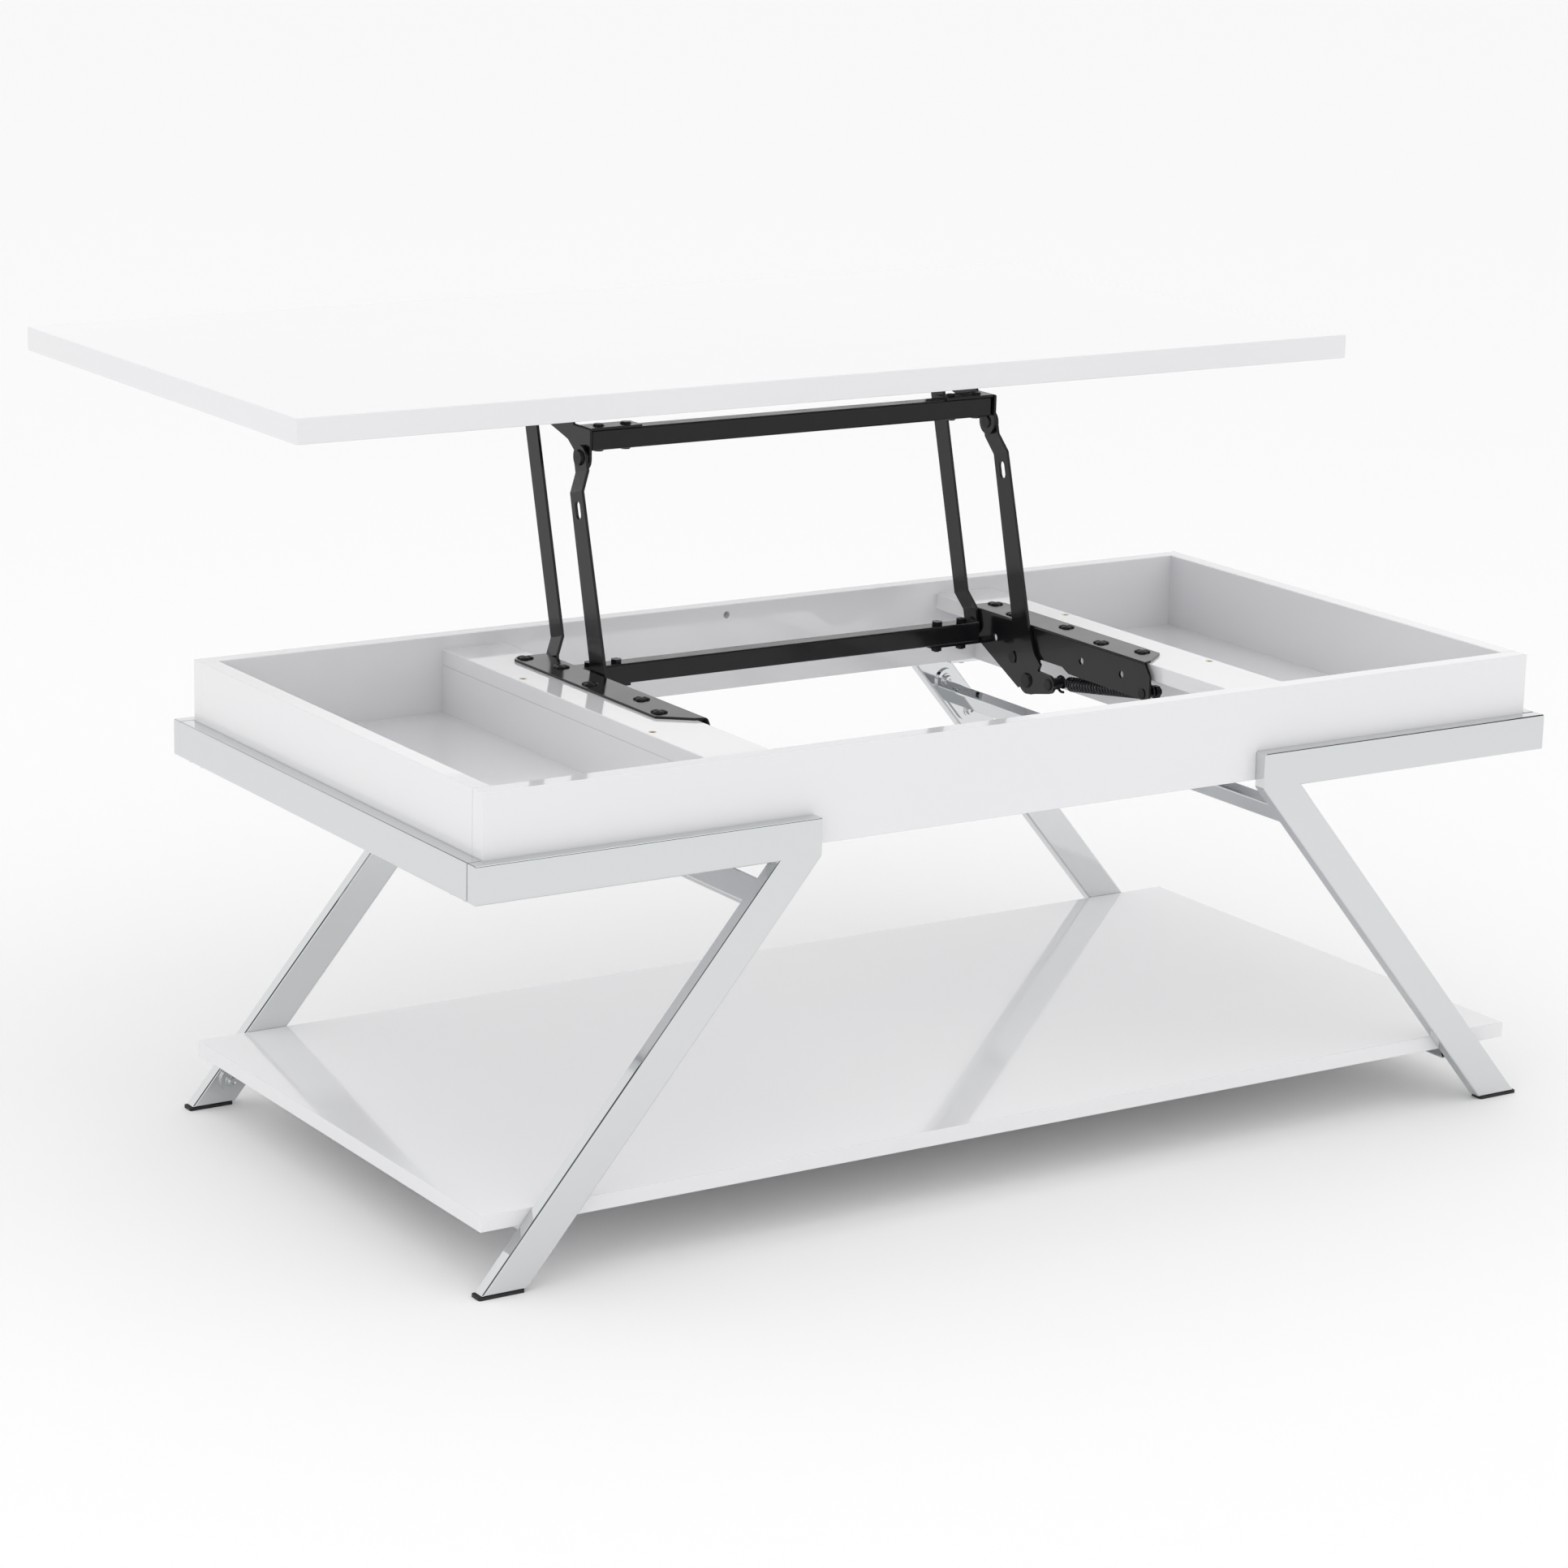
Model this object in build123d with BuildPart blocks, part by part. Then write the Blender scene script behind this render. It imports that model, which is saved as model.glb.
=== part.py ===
from build123d import *
import os
from math import sin, cos, tan, radians, degrees, hypot, atan2, sqrt

# Lift top coffee table: a white lacquered tray and shelf on four chrome Z frames, with a top
# panel that a sprung parallelogram of steel arms raises and carries backwards.
# +X runs along the table, +Y to the back, +Z up. The origin is on the floor under the middle
# of the tray. The table is modelled with its top raised.
os.makedirs("parts", exist_ok=True)

# ---------------------------------------------------------------- driving dimensions, mm
table_length, table_width = 1200.0, 600.0
tube_height, tube_depth, tube_wall, tube_radius = 35.0, 15.0, 1.2, 2.0
tray_height, wall, board = 88.0, 18.0, 16.0
tray_top_z = 451.0                       # rim of the tray above the floor
rail_drop = 59.5                         # top of the chrome rail below the tray's rim
rail_length = 350.5                      # from the end of the table to the knee
foot_inset = 6.0                         # end of the table to the outer edge of a foot
shelf_top_z, shelf_thickness = 71.5, 15.0
top_thickness = 24.0
floor_thickness = 12.0
board_drop = 13.0                        # rim down to the mounting boards
board_inner, board_outer = 258.5, 327.0  # mounting board edges, either side of the middle
edge = 0.8                               # softened arris of the lacquered panels
seam = 0.5                               # gap under the top panel when it is down

arm_length = 265.0                       # pivot to pivot, front and rear arms alike
lean_back = 15.0                         # arms past upright when the top is raised
swing = 103.0                            # how far the arms turn to lower the top
front_pivot = (84.0, 384.0)              # (y, z) of the front arms' base pivot
rear_pivot = (185.0, 423.0)              # (y, z) of the rear arms' base pivot
lever_reach, lever_rise = 37.0, 3.0      # spring pin ahead of and above the front pivot
anchor = (-102.7, 408.7)                 # (y, z) of the spring anchor pin
steel, sheet = 3.0, 2.5                  # arm and bracket thickness
front_arm_width, front_arm_top_width, rear_arm_width = 28.0, 22.0, 22.0
pin_radius, running = 4.0, 0.06          # pivot pins and their radial clearance
face_gap = 0.05                          # side clearance of a pivoted arm
cross_tube, cross_tube_wall = 20.0, 1.5

# distances from the middle plane out to each layer of the mechanism
web_in = 250.5                           # base bracket web, inner face
arm_in = 246.5                           # both arms at their base pivots, inner face
top_web_in = 234.5                       # top bracket web, inner face
arm_top_in = 238.0                       # both arms at their top pivots, inner face
spring_x = 261.5                         # spring axis
lower_tube_end, upper_tube_end = 236.0, 232.0

# ---------------------------------------------------------------- derived places
half_l, half_w = table_length / 2, table_width / 2
tray_x, tray_y = half_l - tube_depth, half_w - tube_depth
tray_bottom_z = tray_top_z - tray_height
floor_top_z = tray_bottom_z + floor_thickness
rail_top_z = tray_top_z - rail_drop
rail_bottom_z = rail_top_z - tube_height
board_top_z = tray_top_z - board_drop
board_bottom_z = board_top_z - board
shelf_bottom_z = shelf_top_z - shelf_thickness
knee_x = half_l - rail_length

def turned(angle):
    """Arm vector (y, z) at an angle past upright towards the back, degrees."""
    return arm_length * sin(radians(angle)), arm_length * cos(radians(angle))

raised, lowered = turned(lean_back), turned(lean_back - swing)
top_shift, top_rise = raised[0] - lowered[0], raised[1] - lowered[1]
under_top_z = tray_top_z + seam + top_rise
front_top = (front_pivot[0] + raised[0], front_pivot[1] + raised[1])
rear_top = (rear_pivot[0] + raised[0], rear_pivot[1] + raised[1])
spring_pin = (front_pivot[0] - lever_reach, front_pivot[1] + lever_rise)
sides = {"left": -1, "right": 1}
ends = {"front": -1, "back": 1}


def save(part, name):
    part.label = name
    export_step(part, f"parts/{name}.step")


def at_x(distance, side):
    """Vertical plane across the table at a distance from the middle; its axes are Y and Z."""
    return Plane.YZ.offset(side * distance)


# ---------------------------------------------------------------- lacquered panels
with BuildPart() as top_panel:
    with Locations((0, top_shift, under_top_z + top_thickness / 2)):
        Box(table_length, table_width, top_thickness)
    fillet(top_panel.edges(), radius=edge)
save(top_panel.part, "top_panel")

dowel_radius, dowel_length, dowel_fit = 4.0, 32.0, 0.05
dowel_heights = (tray_bottom_z + 22, tray_top_z - 22)
cable_hole_radius, cable_hole_drop, cable_hole_depth = 3.6, 10.5, 9.0
corner_x = tray_x - wall / 2

for end, ey in ends.items():
    with BuildPart() as long_panel:
        with Locations((0, ey * (tray_y - wall / 2), tray_bottom_z + tray_height / 2)):
            Box(2 * tray_x, wall, tray_height)
        fillet(long_panel.edges(), radius=edge)
        inner_face = Plane.XZ.offset(-ey * (tray_y - wall))
        with BuildSketch(inner_face) as dowel_holes:
            for height in dowel_heights:
                with Locations((-corner_x, height), (corner_x, height)):
                    Circle(dowel_radius + dowel_fit)
        extrude(amount=-ey * dowel_length / 2 * 0.75, mode=Mode.SUBTRACT)
        if end == "back":
            with BuildSketch(inner_face):
                with Locations((0, tray_top_z - cable_hole_drop)):
                    Circle(cable_hole_radius)
            extrude(amount=-ey * cable_hole_depth, mode=Mode.SUBTRACT)
    save(long_panel.part, f"tray_{end}_panel")

for side, sx in sides.items():
    with BuildPart() as end_panel:
        with Locations((sx * corner_x, 0, tray_bottom_z + tray_height / 2)):
            Box(wall, 2 * (tray_y - wall), tray_height)
        fillet(end_panel.edges().filter_by(Axis.Y), radius=edge)
        for ey in ends.values():
            with BuildSketch(Plane.XZ.offset(-ey * (tray_y - wall))):
                for height in dowel_heights:
                    with Locations((sx * corner_x, height)):
                        Circle(dowel_radius + dowel_fit)
            extrude(amount=ey * dowel_length * 0.65, mode=Mode.SUBTRACT)
    save(end_panel.part, f"tray_{side}_panel")

with BuildPart() as corner_dowels:
    for ey in ends.values():
        with BuildSketch(Plane.XZ.offset(-ey * (tray_y - wall - dowel_length * 0.63))):
            for height in dowel_heights:
                with Locations((-corner_x, height), (corner_x, height)):
                    Circle(dowel_radius)
        extrude(amount=-ey * dowel_length)
save(corner_dowels.part, "corner_dowels")

floor_outer = tray_x - wall
divider_inner = board_outer - board
for side, sx in sides.items():
    with BuildPart() as floor:
        with Locations((sx * (floor_outer + divider_inner) / 2, 0, tray_bottom_z + floor_thickness / 2)):
            Box(floor_outer - divider_inner, 2 * (tray_y - wall), floor_thickness)
    save(floor.part, f"compartment_floor_{side}")

    screw_x, screw_y = board_outer - board / 2, 120.0
    with BuildPart() as divider:
        with Locations((sx * (board_outer - board / 2), 0, (floor_top_z + board_bottom_z) / 2)):
            Box(board, 2 * (tray_y - wall), board_bottom_z - floor_top_z)
        with BuildSketch(Plane.XY.offset(board_bottom_z)):
            with Locations((sx * screw_x, -screw_y), (sx * screw_x, screw_y)):
                Circle(1.9)
        extrude(amount=-24, mode=Mode.SUBTRACT)
    save(divider.part, f"divider_{side}")

# Bracket screw places on one flange, as (distance out, y), from back to front
flange_screws = ((278.5, 185.0), (266.5, 135.5), (278.5, 60.0), (266.5, -15.0), (278.5, -67.0))
flange_screw_radius = 2.0
for side, sx in sides.items():
    with BuildPart() as mounting_board:
        with Locations((sx * (board_inner + board_outer) / 2, 0, board_top_z - board / 2)):
            Box(board_outer - board_inner, 2 * (tray_y - wall), board)
        fillet(mounting_board.edges().filter_by(Axis.Y), radius=edge)
        with BuildSketch(Plane.XY.offset(board_top_z)):
            with Locations((sx * screw_x, -screw_y), (sx * screw_x, screw_y)):
                Circle(3.7)
        extrude(amount=-2.2, mode=Mode.SUBTRACT)
        with BuildSketch(Plane.XY.offset(board_top_z)):
            with Locations((sx * screw_x, -screw_y), (sx * screw_x, screw_y)):
                Circle(1.9)
        extrude(amount=-board, mode=Mode.SUBTRACT)
        with BuildSketch(Plane.XY.offset(board_top_z)):
            with Locations(*[(sx * x, y) for x, y in flange_screws]):
                Circle(flange_screw_radius + 0.05)
        extrude(amount=-13, mode=Mode.SUBTRACT)
    save(mounting_board.part, f"mounting_board_{side}")

# Countersunk cross-head screws, brass plated, that hold each board to its divider
with BuildPart() as board_screws:
    for sx in sides.values():
        for y in (-screw_y, screw_y):
            with BuildSketch(Plane.XY.offset(board_top_z - 0.2)):
                with Locations((sx * screw_x, y)):
                    Circle(3.6)
            extrude(amount=-2.0, taper=40)
            with BuildSketch(Plane.XY.offset(board_top_z - 1.0)):
                with Locations((sx * screw_x, y)):
                    Circle(1.8)
            extrude(amount=-33)
            with BuildSketch(Plane.XY.offset(board_top_z - 0.2)):
                with Locations((sx * screw_x, y)):
                    Rectangle(4.4, 0.9)
                    Rectangle(0.9, 4.4)
            extrude(amount=-1.1, mode=Mode.SUBTRACT)
save(board_screws.part, "board_screws")

shelf_screw_y = (-200.0, 0.0, 200.0)
lower_bar_x, lower_bar_width, bar_thickness = 523.0, 30.0, 12.0
with BuildPart() as shelf_panel:
    with Locations((0, 0, shelf_top_z - shelf_thickness / 2)):
        Box(2 * tray_x, 2 * tray_y, shelf_thickness)
    fillet(shelf_panel.edges(), radius=edge)
    with BuildSketch(Plane.XY.offset(shelf_bottom_z)):
        with Locations(*[(sx * lower_bar_x, y) for sx in sides.values() for y in shelf_screw_y]):
            Circle(1.9)
    extrude(amount=11, mode=Mode.SUBTRACT)
save(shelf_panel.part, "shelf_panel")

# ---------------------------------------------------------------- chrome Z frames
foot_pad = 3.0
leg_run = half_l - foot_inset - (half_l - rail_length)           # knee to outer foot edge along X
leg_slope = atan2(leg_run - tube_height / cos(radians(40)), rail_bottom_z)
leg_angle = degrees(leg_slope)                                    # from upright
leg_cut = tube_height / cos(leg_slope)                            # level cut across a leg
foot_outer = half_l - foot_inset


def tube_section():
    """Flat tube wall, long side along the sketch's Y."""
    RectangleRounded(tube_depth, tube_height, tube_radius)
    RectangleRounded(
        tube_depth - 2 * tube_wall, tube_height - 2 * tube_wall, tube_radius / 2, mode=Mode.SUBTRACT
    )


# Cross bars between the legs, with stadium plates bolted to the legs' inner faces
plate = 3.0
upper_bar_width = 26.0
upper_bar_drop = 35.0                                             # below the rail, on the leg's centre
upper_plate_length, upper_plate_width, upper_bolt_pitch = 70.0, 26.0, 47.0
lower_plate_length, lower_plate_width = 46.0, 26.0
bolt_radius = 3.0


def leg_point(side, z):
    """Point on a leg's centre line, as (x, z)."""
    return side * (knee_x + leg_cut / 2 + (rail_bottom_z - z) * tan(leg_slope)), z


upper_bar_z = rail_bottom_z - upper_bar_drop
bar_half = half_w - tube_depth - plate
lower_plate_z = shelf_bottom_z - 2 - (lower_plate_length - lower_plate_width) / 2 * cos(leg_slope) \
    - lower_plate_width / 2
lower_bolt_z = lower_plate_z - 9
plate_places = []                                                 # (x, z, tilt, length, width, bolts)
for sx in sides.values():
    tilt = -sx * (90 - leg_angle)
    x, z = leg_point(sx, upper_bar_z)
    half_pitch = upper_bolt_pitch / 2
    reach = (sx * half_pitch * sin(leg_slope), -half_pitch * cos(leg_slope))
    bolts = ((x + reach[0], z + reach[1]), (x - reach[0], z - reach[1]))
    plate_places.append((x, z, tilt, upper_plate_length, upper_plate_width, bolts))
    x, z = leg_point(sx, lower_plate_z)
    plate_places.append((x, z, tilt, lower_plate_length, lower_plate_width,
                         (leg_point(sx, lower_bolt_z),)))

cap = 1.5                                                         # welded end plates
for end, ey in ends.items():
    tube_y = ey * (half_w - tube_depth / 2)
    for side, sx in sides.items():
        with BuildPart() as rail:
            with BuildSketch(Plane.YZ.offset(sx * (knee_x + cap))) as rail_profile:
                with Locations((tube_y, rail_top_z - tube_height / 2)):
                    tube_section()
            extrude(amount=sx * (rail_length - 2 * cap))
        save(rail.part, f"rail_{end}_{side}")

        # The leg tube is cut level at both ends, under the rail and on its foot pad
        lean = Vector(sx * sin(leg_slope), 0, -cos(leg_slope))
        leg_top = Vector(sx * (knee_x + leg_cut / 2), tube_y, rail_bottom_z)
        across = Vector(sx * cos(leg_slope), 0, sin(leg_slope))
        leg_plane = Plane(origin=leg_top - lean * 60, x_dir=(0, 1, 0), z_dir=lean)
        with BuildPart() as leg:
            with BuildSketch(leg_plane):
                tube_section()
            extrude(amount=640)
            split(bisect_by=Plane.XY.offset(rail_bottom_z), keep=Keep.BOTTOM)
            split(bisect_by=Plane.XY.offset(foot_pad), keep=Keep.TOP)
            with BuildSketch(Plane.XZ.offset(-ey * (half_w - tube_depth))):
                for place in plate_places:
                    if place[0] * sx > 0:
                        with Locations(*place[5]):
                            Circle(bolt_radius + 0.1)
            extrude(amount=-ey * tube_wall * 2, mode=Mode.SUBTRACT)
        save(leg.part, f"leg_{end}_{side}")

with BuildPart() as rail_end_plates:
    for ey in ends.values():
        for sx in sides.values():
            for x in (knee_x, half_l - cap):
                with BuildSketch(Plane.YZ.offset(sx * x)):
                    with Locations((ey * (half_w - tube_depth / 2), rail_top_z - tube_height / 2)):
                        RectangleRounded(tube_depth, tube_height, tube_radius)
                extrude(amount=sx * cap)
save(rail_end_plates.part, "rail_end_plates")

# Moulded pads: a flat sole under each leg and a plug up inside the tube
plug_height, plug_gap = 10.0, 0.1
with BuildPart() as foot_pads:
    for ey in ends.values():
        tube_y = ey * (half_w - tube_depth / 2)
        for sx in sides.values():
            foot_x = foot_outer - leg_cut / 2
            with BuildSketch(Plane.XY):
                with Locations((sx * foot_x, tube_y)):
                    RectangleRounded(leg_cut, tube_depth, tube_radius)
            extrude(amount=foot_pad)
            with BuildSketch(Plane.XY.offset(foot_pad)):
                with Locations((sx * (foot_x - (foot_pad + plug_height / 2) * tan(leg_slope)), tube_y)):
                    Rectangle(leg_cut - 2 * tube_wall / cos(leg_slope) - plug_height * tan(leg_slope) - 1,
                              tube_depth - 2 * tube_wall - 2 * plug_gap)
            extrude(amount=plug_height)
save(foot_pads.part, "foot_pads")

# Side rails butt between the front and back rails on tongues welded to them
tongue_length, tongue_gap, side_gap = 45.0, 0.2, 0.4
side_half = half_w - tube_depth - side_gap
side_x = half_l - tube_depth / 2
rail_mid_z = rail_top_z - tube_height / 2
side_screw_y = (half_w - tube_depth - 12, half_w - tube_depth - 36)
side_screw_radius = 2.0
for side, sx in sides.items():
    with BuildPart() as side_rail:
        with BuildSketch(Plane.XZ.offset(-side_half)):
            with Locations((sx * side_x, rail_mid_z)):
                tube_section()
        extrude(amount=2 * side_half)
        with BuildSketch(Plane.XY.offset(rail_bottom_z)):
            with Locations(*[(sx * side_x, ey * y) for ey in ends.values() for y in side_screw_y]):
                Circle(side_screw_radius + 0.3)
        extrude(amount=tube_wall * 2, mode=Mode.SUBTRACT)
    save(side_rail.part, f"side_rail_{side}")

tongue_depth = tube_depth - 2 * tube_wall - 2 * tongue_gap
tongue_height = tube_height - 2 * tube_wall - 2 * tongue_gap
with BuildPart() as corner_tongues:
    for sx in sides.values():
        for ey in ends.values():
            with BuildSketch(Plane.XZ.offset(-ey * (half_w - tube_depth))):
                with Locations((sx * side_x, rail_mid_z)):
                    RectangleRounded(tongue_depth, tongue_height, tube_radius)
                    Rectangle(tongue_depth - 6, tongue_height - 6, mode=Mode.SUBTRACT)
            extrude(amount=ey * tongue_length)
    with BuildSketch(Plane.XY.offset(rail_bottom_z)):
        with Locations(*[(sx * side_x, ey * y) for sx in sides.values() for ey in ends.values()
                         for y in side_screw_y]):
            Circle(side_screw_radius + 0.05)
    extrude(amount=tube_wall + 6, mode=Mode.SUBTRACT)
save(corner_tongues.part, "corner_tongues")

with BuildPart() as side_rail_screws:
    for sx in sides.values():
        for ey in ends.values():
            for y in side_screw_y:
                with BuildSketch(Plane.XY.offset(rail_bottom_z)):
                    with Locations((sx * side_x, ey * y)):
                        Circle(4.2)
                extrude(amount=-2.4, taper=18)
                with BuildSketch(Plane.XY.offset(rail_bottom_z)):
                    with Locations((sx * side_x, ey * y)):
                        Circle(side_screw_radius)
                extrude(amount=tube_wall + 5)
                with BuildSketch(Plane.XY.offset(rail_bottom_z - 2.4)):
                    with Locations((sx * side_x, ey * y)):
                        Rectangle(3.6, 0.8)
                        Rectangle(0.8, 3.6)
                extrude(amount=1.2, mode=Mode.SUBTRACT)
save(side_rail_screws.part, "side_rail_screws")

# ---------------------------------------------------------------- cross bars between the Z frames
for side, sx in sides.items():
    bar_x, bar_z = leg_point(sx, upper_bar_z)
    tilt = -sx * (90 - leg_angle)
    with BuildPart() as upper_bar:
        with BuildSketch(Plane.XZ.offset(-bar_half)):
            with Locations(Location((bar_x, bar_z, 0), (0, 0, tilt))):
                RectangleRounded(upper_bar_width, bar_thickness, tube_radius)
                RectangleRounded(upper_bar_width - 2 * tube_wall, bar_thickness - 2 * tube_wall,
                                 tube_radius / 2, mode=Mode.SUBTRACT)
        extrude(amount=2 * bar_half)
    save(upper_bar.part, f"upper_cross_bar_{side}")

    with BuildPart() as lower_bar:
        with BuildSketch(Plane.XZ.offset(-bar_half)):
            with Locations((sx * lower_bar_x, shelf_bottom_z - bar_thickness / 2)):
                RectangleRounded(lower_bar_width, bar_thickness, tube_radius)
                RectangleRounded(lower_bar_width - 2 * tube_wall, bar_thickness - 2 * tube_wall,
                                 tube_radius / 2, mode=Mode.SUBTRACT)
        extrude(amount=2 * bar_half)
        with BuildSketch(Plane.XY.offset(shelf_bottom_z)):
            with Locations(*[(sx * lower_bar_x, y) for y in shelf_screw_y]):
                Circle(2.3)
        extrude(amount=-bar_thickness, mode=Mode.SUBTRACT)
    save(lower_bar.part, f"lower_cross_bar_{side}")

with BuildPart() as cross_bar_plates:
    for ey in ends.values():
        for x, z, tilt, length, width, bolts in plate_places:
            with BuildSketch(Plane.XZ.offset(-ey * (half_w - tube_depth))):
                with Locations(Location((x, z, 0), (0, 0, tilt))):
                    SlotOverall(length, width)
                with Locations(*bolts):
                    Circle(bolt_radius + 0.2, mode=Mode.SUBTRACT)
            extrude(amount=ey * plate)
save(cross_bar_plates.part, "cross_bar_plates")

# Pan-head bolts with washers, screwed through the plates into nuts in the legs
with BuildPart() as cross_bar_bolts:
    for ey in ends.values():
        for x, z, tilt, length, width, bolts in plate_places:
            inner = Plane.XZ.offset(-ey * (half_w - tube_depth - plate))
            with BuildSketch(inner):
                with Locations(*bolts):
                    Circle(7.0)
            extrude(amount=ey * 1.2)
            with BuildSketch(Plane.XZ.offset(-ey * (half_w - tube_depth - plate - 1.2))):
                with Locations(*bolts):
                    Circle(5.2)
            extrude(amount=ey * 3.4, taper=14)
            with BuildSketch(Plane.XZ.offset(-ey * (half_w - tube_depth - plate - 1.2))):
                with Locations(*bolts):
                    Circle(bolt_radius)
            extrude(amount=-ey * (plate + tube_wall + 5))
            with BuildSketch(Plane.XZ.offset(-ey * (half_w - tube_depth - plate - 4.6))):
                with Locations(*bolts):
                    RegularPolygon(2.3, 6)
            extrude(amount=-ey * 2.0, mode=Mode.SUBTRACT)
save(cross_bar_bolts.part, "cross_bar_bolts")

with BuildPart() as shelf_screws:
    for sx in sides.values():
        for y in shelf_screw_y:
            under_bar = shelf_bottom_z - bar_thickness
            with BuildSketch(Plane.XY.offset(under_bar)):
                with Locations((sx * lower_bar_x, y)):
                    Circle(4.0)
            extrude(amount=-2.2, taper=18)
            with BuildSketch(Plane.XY.offset(under_bar)):
                with Locations((sx * lower_bar_x, y)):
                    Circle(1.8)
            extrude(amount=bar_thickness + 10)
save(shelf_screws.part, "shelf_screws")

# Welded tabs on the rails, screwed up into the tray's long panels
tab_x = (300.0, 555.0)
tab_width, tab_reach, tab_steel = 36.0, 16.0, 3.0
with BuildPart() as tray_tabs:
    for ey in ends.values():
        with BuildSketch(Plane.XY.offset(tray_bottom_z)):
            for sx in sides.values():
                for x in tab_x:
                    with Locations((sx * x, ey * (half_w - tube_depth - tab_reach / 2))):
                        Rectangle(tab_width, tab_reach)
                        Circle(2.2, mode=Mode.SUBTRACT)
        extrude(amount=-tab_steel)
save(tray_tabs.part, "tray_tabs")

with BuildPart() as tray_screws:
    for sx in sides.values():
        for ey in ends.values():
            places = [(sx * x, ey * (half_w - tube_depth - tab_reach / 2)) for x in tab_x]
            with BuildSketch(Plane.XY.offset(tray_bottom_z - tab_steel)):
                with Locations(*places):
                    Circle(4.0)
            extrude(amount=-2.2, taper=18)
            with BuildSketch(Plane.XY.offset(tray_bottom_z - tab_steel)):
                with Locations(*places):
                    Circle(2.0)
            extrude(amount=tab_steel)
save(tray_screws.part, "tray_screws")

# ---------------------------------------------------------------- base brackets
flange_out = 290.5
web_out = web_in + sheet
lower_tube_y, lower_tube_top = 165.0, 431.5
upper_tube_y, upper_tube_top = 153.0, 667.0
tube_bolt_x = (190.0, 220.0)
tab_inner, tab_half = 178.0, 8.5
lower_tab_top = lower_tube_top - cross_tube
flange_outline = (
    (web_in, 196), (284, 196), (flange_out, 188), (flange_out, -77), (262, -100), (web_in, -104),
)
web_outline = (
    (196, board_top_z + sheet), (196, 412), (190, 406), (172, 405), (104, 372), (70, 388), (70, 407),
    (65, 408.5), (30, 408.5), (19, 403.5), (-105, 402.6), (-114, 406), (-114, 428), (-104, board_top_z + sheet),
)
lightening_holes = ((147.0, 415.6), (-1.5, 421.0), (-68.0, 421.0))

bend_out, bend_in = 2.2, 0.6                                       # radii of a bend in the sheet


def bend_edges(builder, distance, height):
    """The long edges of a bend along Y, at a distance from the middle and a height."""
    return [
        line for line in builder.edges().filter_by(Axis.Y)
        if abs(abs(line.center().X) - distance) < 0.1 and abs(line.center().Z - height) < 0.1
        and line.length > 20
    ]


for side, sx in sides.items():
    with BuildPart() as base_bracket:
        with BuildSketch(Plane.XY.offset(board_top_z)):
            with BuildLine():
                Polyline(*[(sx * x, y) for x, y in flange_outline], close=True)
            make_face()
        extrude(amount=sheet)
        with BuildSketch(at_x(web_in, sx)):
            with BuildLine():
                Polyline(*web_outline, close=True)
            make_face()
            with Locations(front_pivot):
                Circle(15)
        extrude(amount=sx * sheet)
        fillet(bend_edges(base_bracket, web_in, board_top_z + sheet), radius=bend_out)
        fillet(bend_edges(base_bracket, web_out, board_top_z), radius=bend_in)
        with Locations((sx * (tab_inner + web_out) / 2, lower_tube_y, lower_tab_top - sheet / 2)):
            Box(web_out - tab_inner, 2 * tab_half, sheet)
        with BuildSketch(at_x(web_in, sx)):
            with Locations(front_pivot, rear_pivot, anchor):
                Circle(pin_radius + running)
            with Locations(*lightening_holes):
                Circle(3.8)
        extrude(amount=sx * sheet, mode=Mode.SUBTRACT)
        with BuildSketch(Plane.XY.offset(board_top_z + sheet)):
            with Locations(*[(sx * x, y) for x, y in flange_screws]):
                Circle(flange_screw_radius + 0.3)
        extrude(amount=-sheet, mode=Mode.SUBTRACT)
        with BuildSketch(Plane.XY.offset(lower_tab_top)):
            with Locations(*[(sx * x, lower_tube_y) for x in tube_bolt_x]):
                Circle(bolt_radius + 0.1)
        extrude(amount=-sheet, mode=Mode.SUBTRACT)
    save(base_bracket.part, f"base_bracket_{side}")

with BuildPart() as bracket_screws:
    for sx in sides.values():
        places = [(sx * x, y) for x, y in flange_screws]
        with BuildSketch(Plane.XY.offset(board_top_z + sheet)):
            with Locations(*places):
                Circle(5.2)
        extrude(amount=2.2, taper=32)
        with BuildSketch(Plane.XY.offset(board_top_z + sheet)):
            with Locations(*places):
                Circle(flange_screw_radius)
        extrude(amount=-sheet - 12)
save(bracket_screws.part, "bracket_screws")

# ---------------------------------------------------------------- arms
lean_plane_u = (0, sin(radians(lean_back)), cos(radians(lean_back)))      # up along a raised arm
lean_plane_v = (0, cos(radians(lean_back)), -sin(radians(lean_back)))     # across it, to the back
front_bend = (arm_length - 33, arm_length - 14)                           # joggle inward near the top
rear_bend = (16.0, 34.0)                                                  # joggle inward near the base
slot_place, slot_length, slot_width = arm_length - 50, 18.0, 9.5


def on_arm(pivot, along, across):
    """(y, z) of a point on a raised arm, measured from its base pivot."""
    return (
        pivot[0] + along * lean_plane_u[1] + across * lean_plane_v[1],
        pivot[1] + along * lean_plane_u[2] + across * lean_plane_v[2],
    )


def arm_profile(bend):
    """Edge view of a joggled arm as (distance up, distance out), two parallel bent lines."""
    low, high, start, end = arm_in, arm_top_in, -40, arm_length + 40
    knuckle = steel * tan(0.5 * atan2(low - high, bend[1] - bend[0]))
    return (
        (start, low), (bend[0], low), (bend[1], high), (end, high), (end, high + steel),
        (bend[1] + knuckle, high + steel), (bend[0] + knuckle, low + steel), (start, low + steel),
    )


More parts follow.
